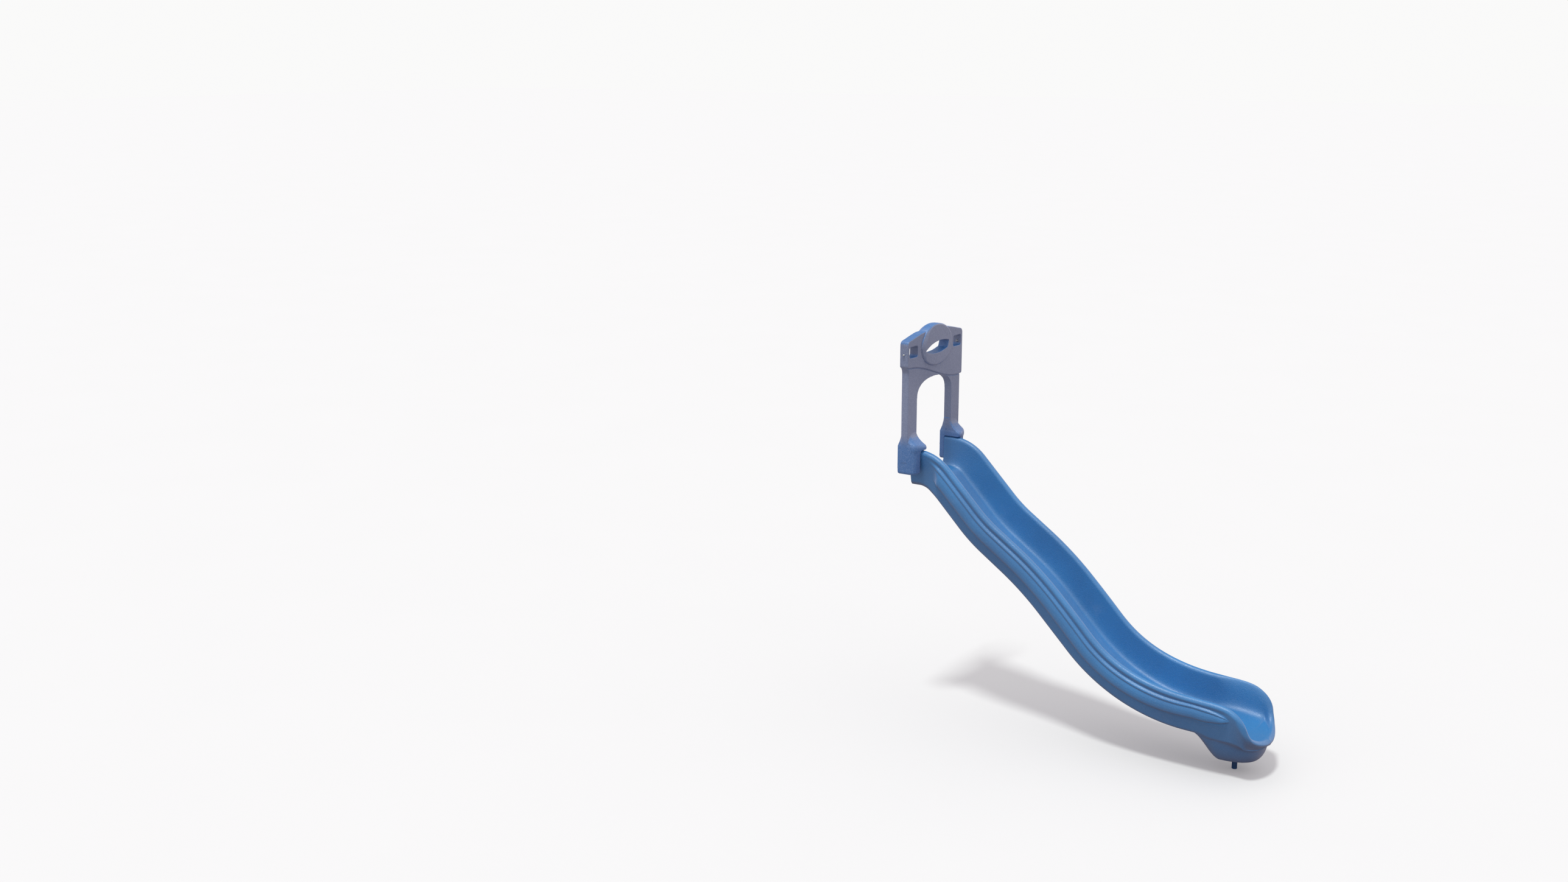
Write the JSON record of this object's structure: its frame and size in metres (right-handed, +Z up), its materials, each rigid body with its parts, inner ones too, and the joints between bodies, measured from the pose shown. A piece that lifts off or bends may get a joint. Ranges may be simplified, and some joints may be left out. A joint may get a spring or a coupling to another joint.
{
  "type": "wave slide",
  "caption": "Moulded plastic wave slide with an arched entry hood, rolled side rails, a moulded exit foot and a short steel exit support.",
  "frame": {"origin": "on the ground, at the centre of the footprint (the bounding box's centre in X and Y)", "axes": "+X is the way the slide runs, away from the deck; +Y is across it, to the left of someone sliding down; +Z is up"},
  "size_m": [2.8499, 0.848, 2.97],
  "materials": {
    "chute_blue": "rotationally moulded polyethylene, mid blue, fine grained satin skin",
    "hood_blue": "rotationally moulded polyethylene, greyed blue, fine grained matt skin",
    "powder_blue": "powder-coated steel, dark blue",
    "steel": "plain stainless button-head bolts and flat washers",
    "brass": "plain turned inserts"
  },
  "bodies": {
    "root": {"deck_insert_1": "brass", "deck_insert_2": "brass", "deck_insert_3": "brass", "deck_insert_4": "brass", "entry_hood": "hood_blue", "foot_insert_1": "brass", "foot_insert_2": "brass", "foot_insert_3": "brass", "foot_insert_4": "brass", "hood_bolt_1": "steel", "hood_bolt_2": "steel", "hood_bolt_3": "steel", "hood_bolt_4": "steel", "hood_insert_1": "brass", "hood_insert_2": "brass", "hood_insert_3": "brass", "hood_insert_4": "brass", "hood_washer_1": "steel", "hood_washer_2": "steel", "hood_washer_3": "steel", "hood_washer_4": "steel", "post_bolt_far": "steel", "post_bolt_near": "steel", "post_washer_far": "steel", "post_washer_near": "steel", "slide_chute": "chute_blue", "support_bolt_1": "steel", "support_bolt_2": "steel", "support_bolt_3": "steel", "support_bolt_4": "steel", "support_plate": "powder_blue", "support_tube": "powder_blue", "support_washer_1": "steel", "support_washer_2": "steel", "support_washer_3": "steel", "support_washer_4": "steel"}
  },
  "joints": []
}
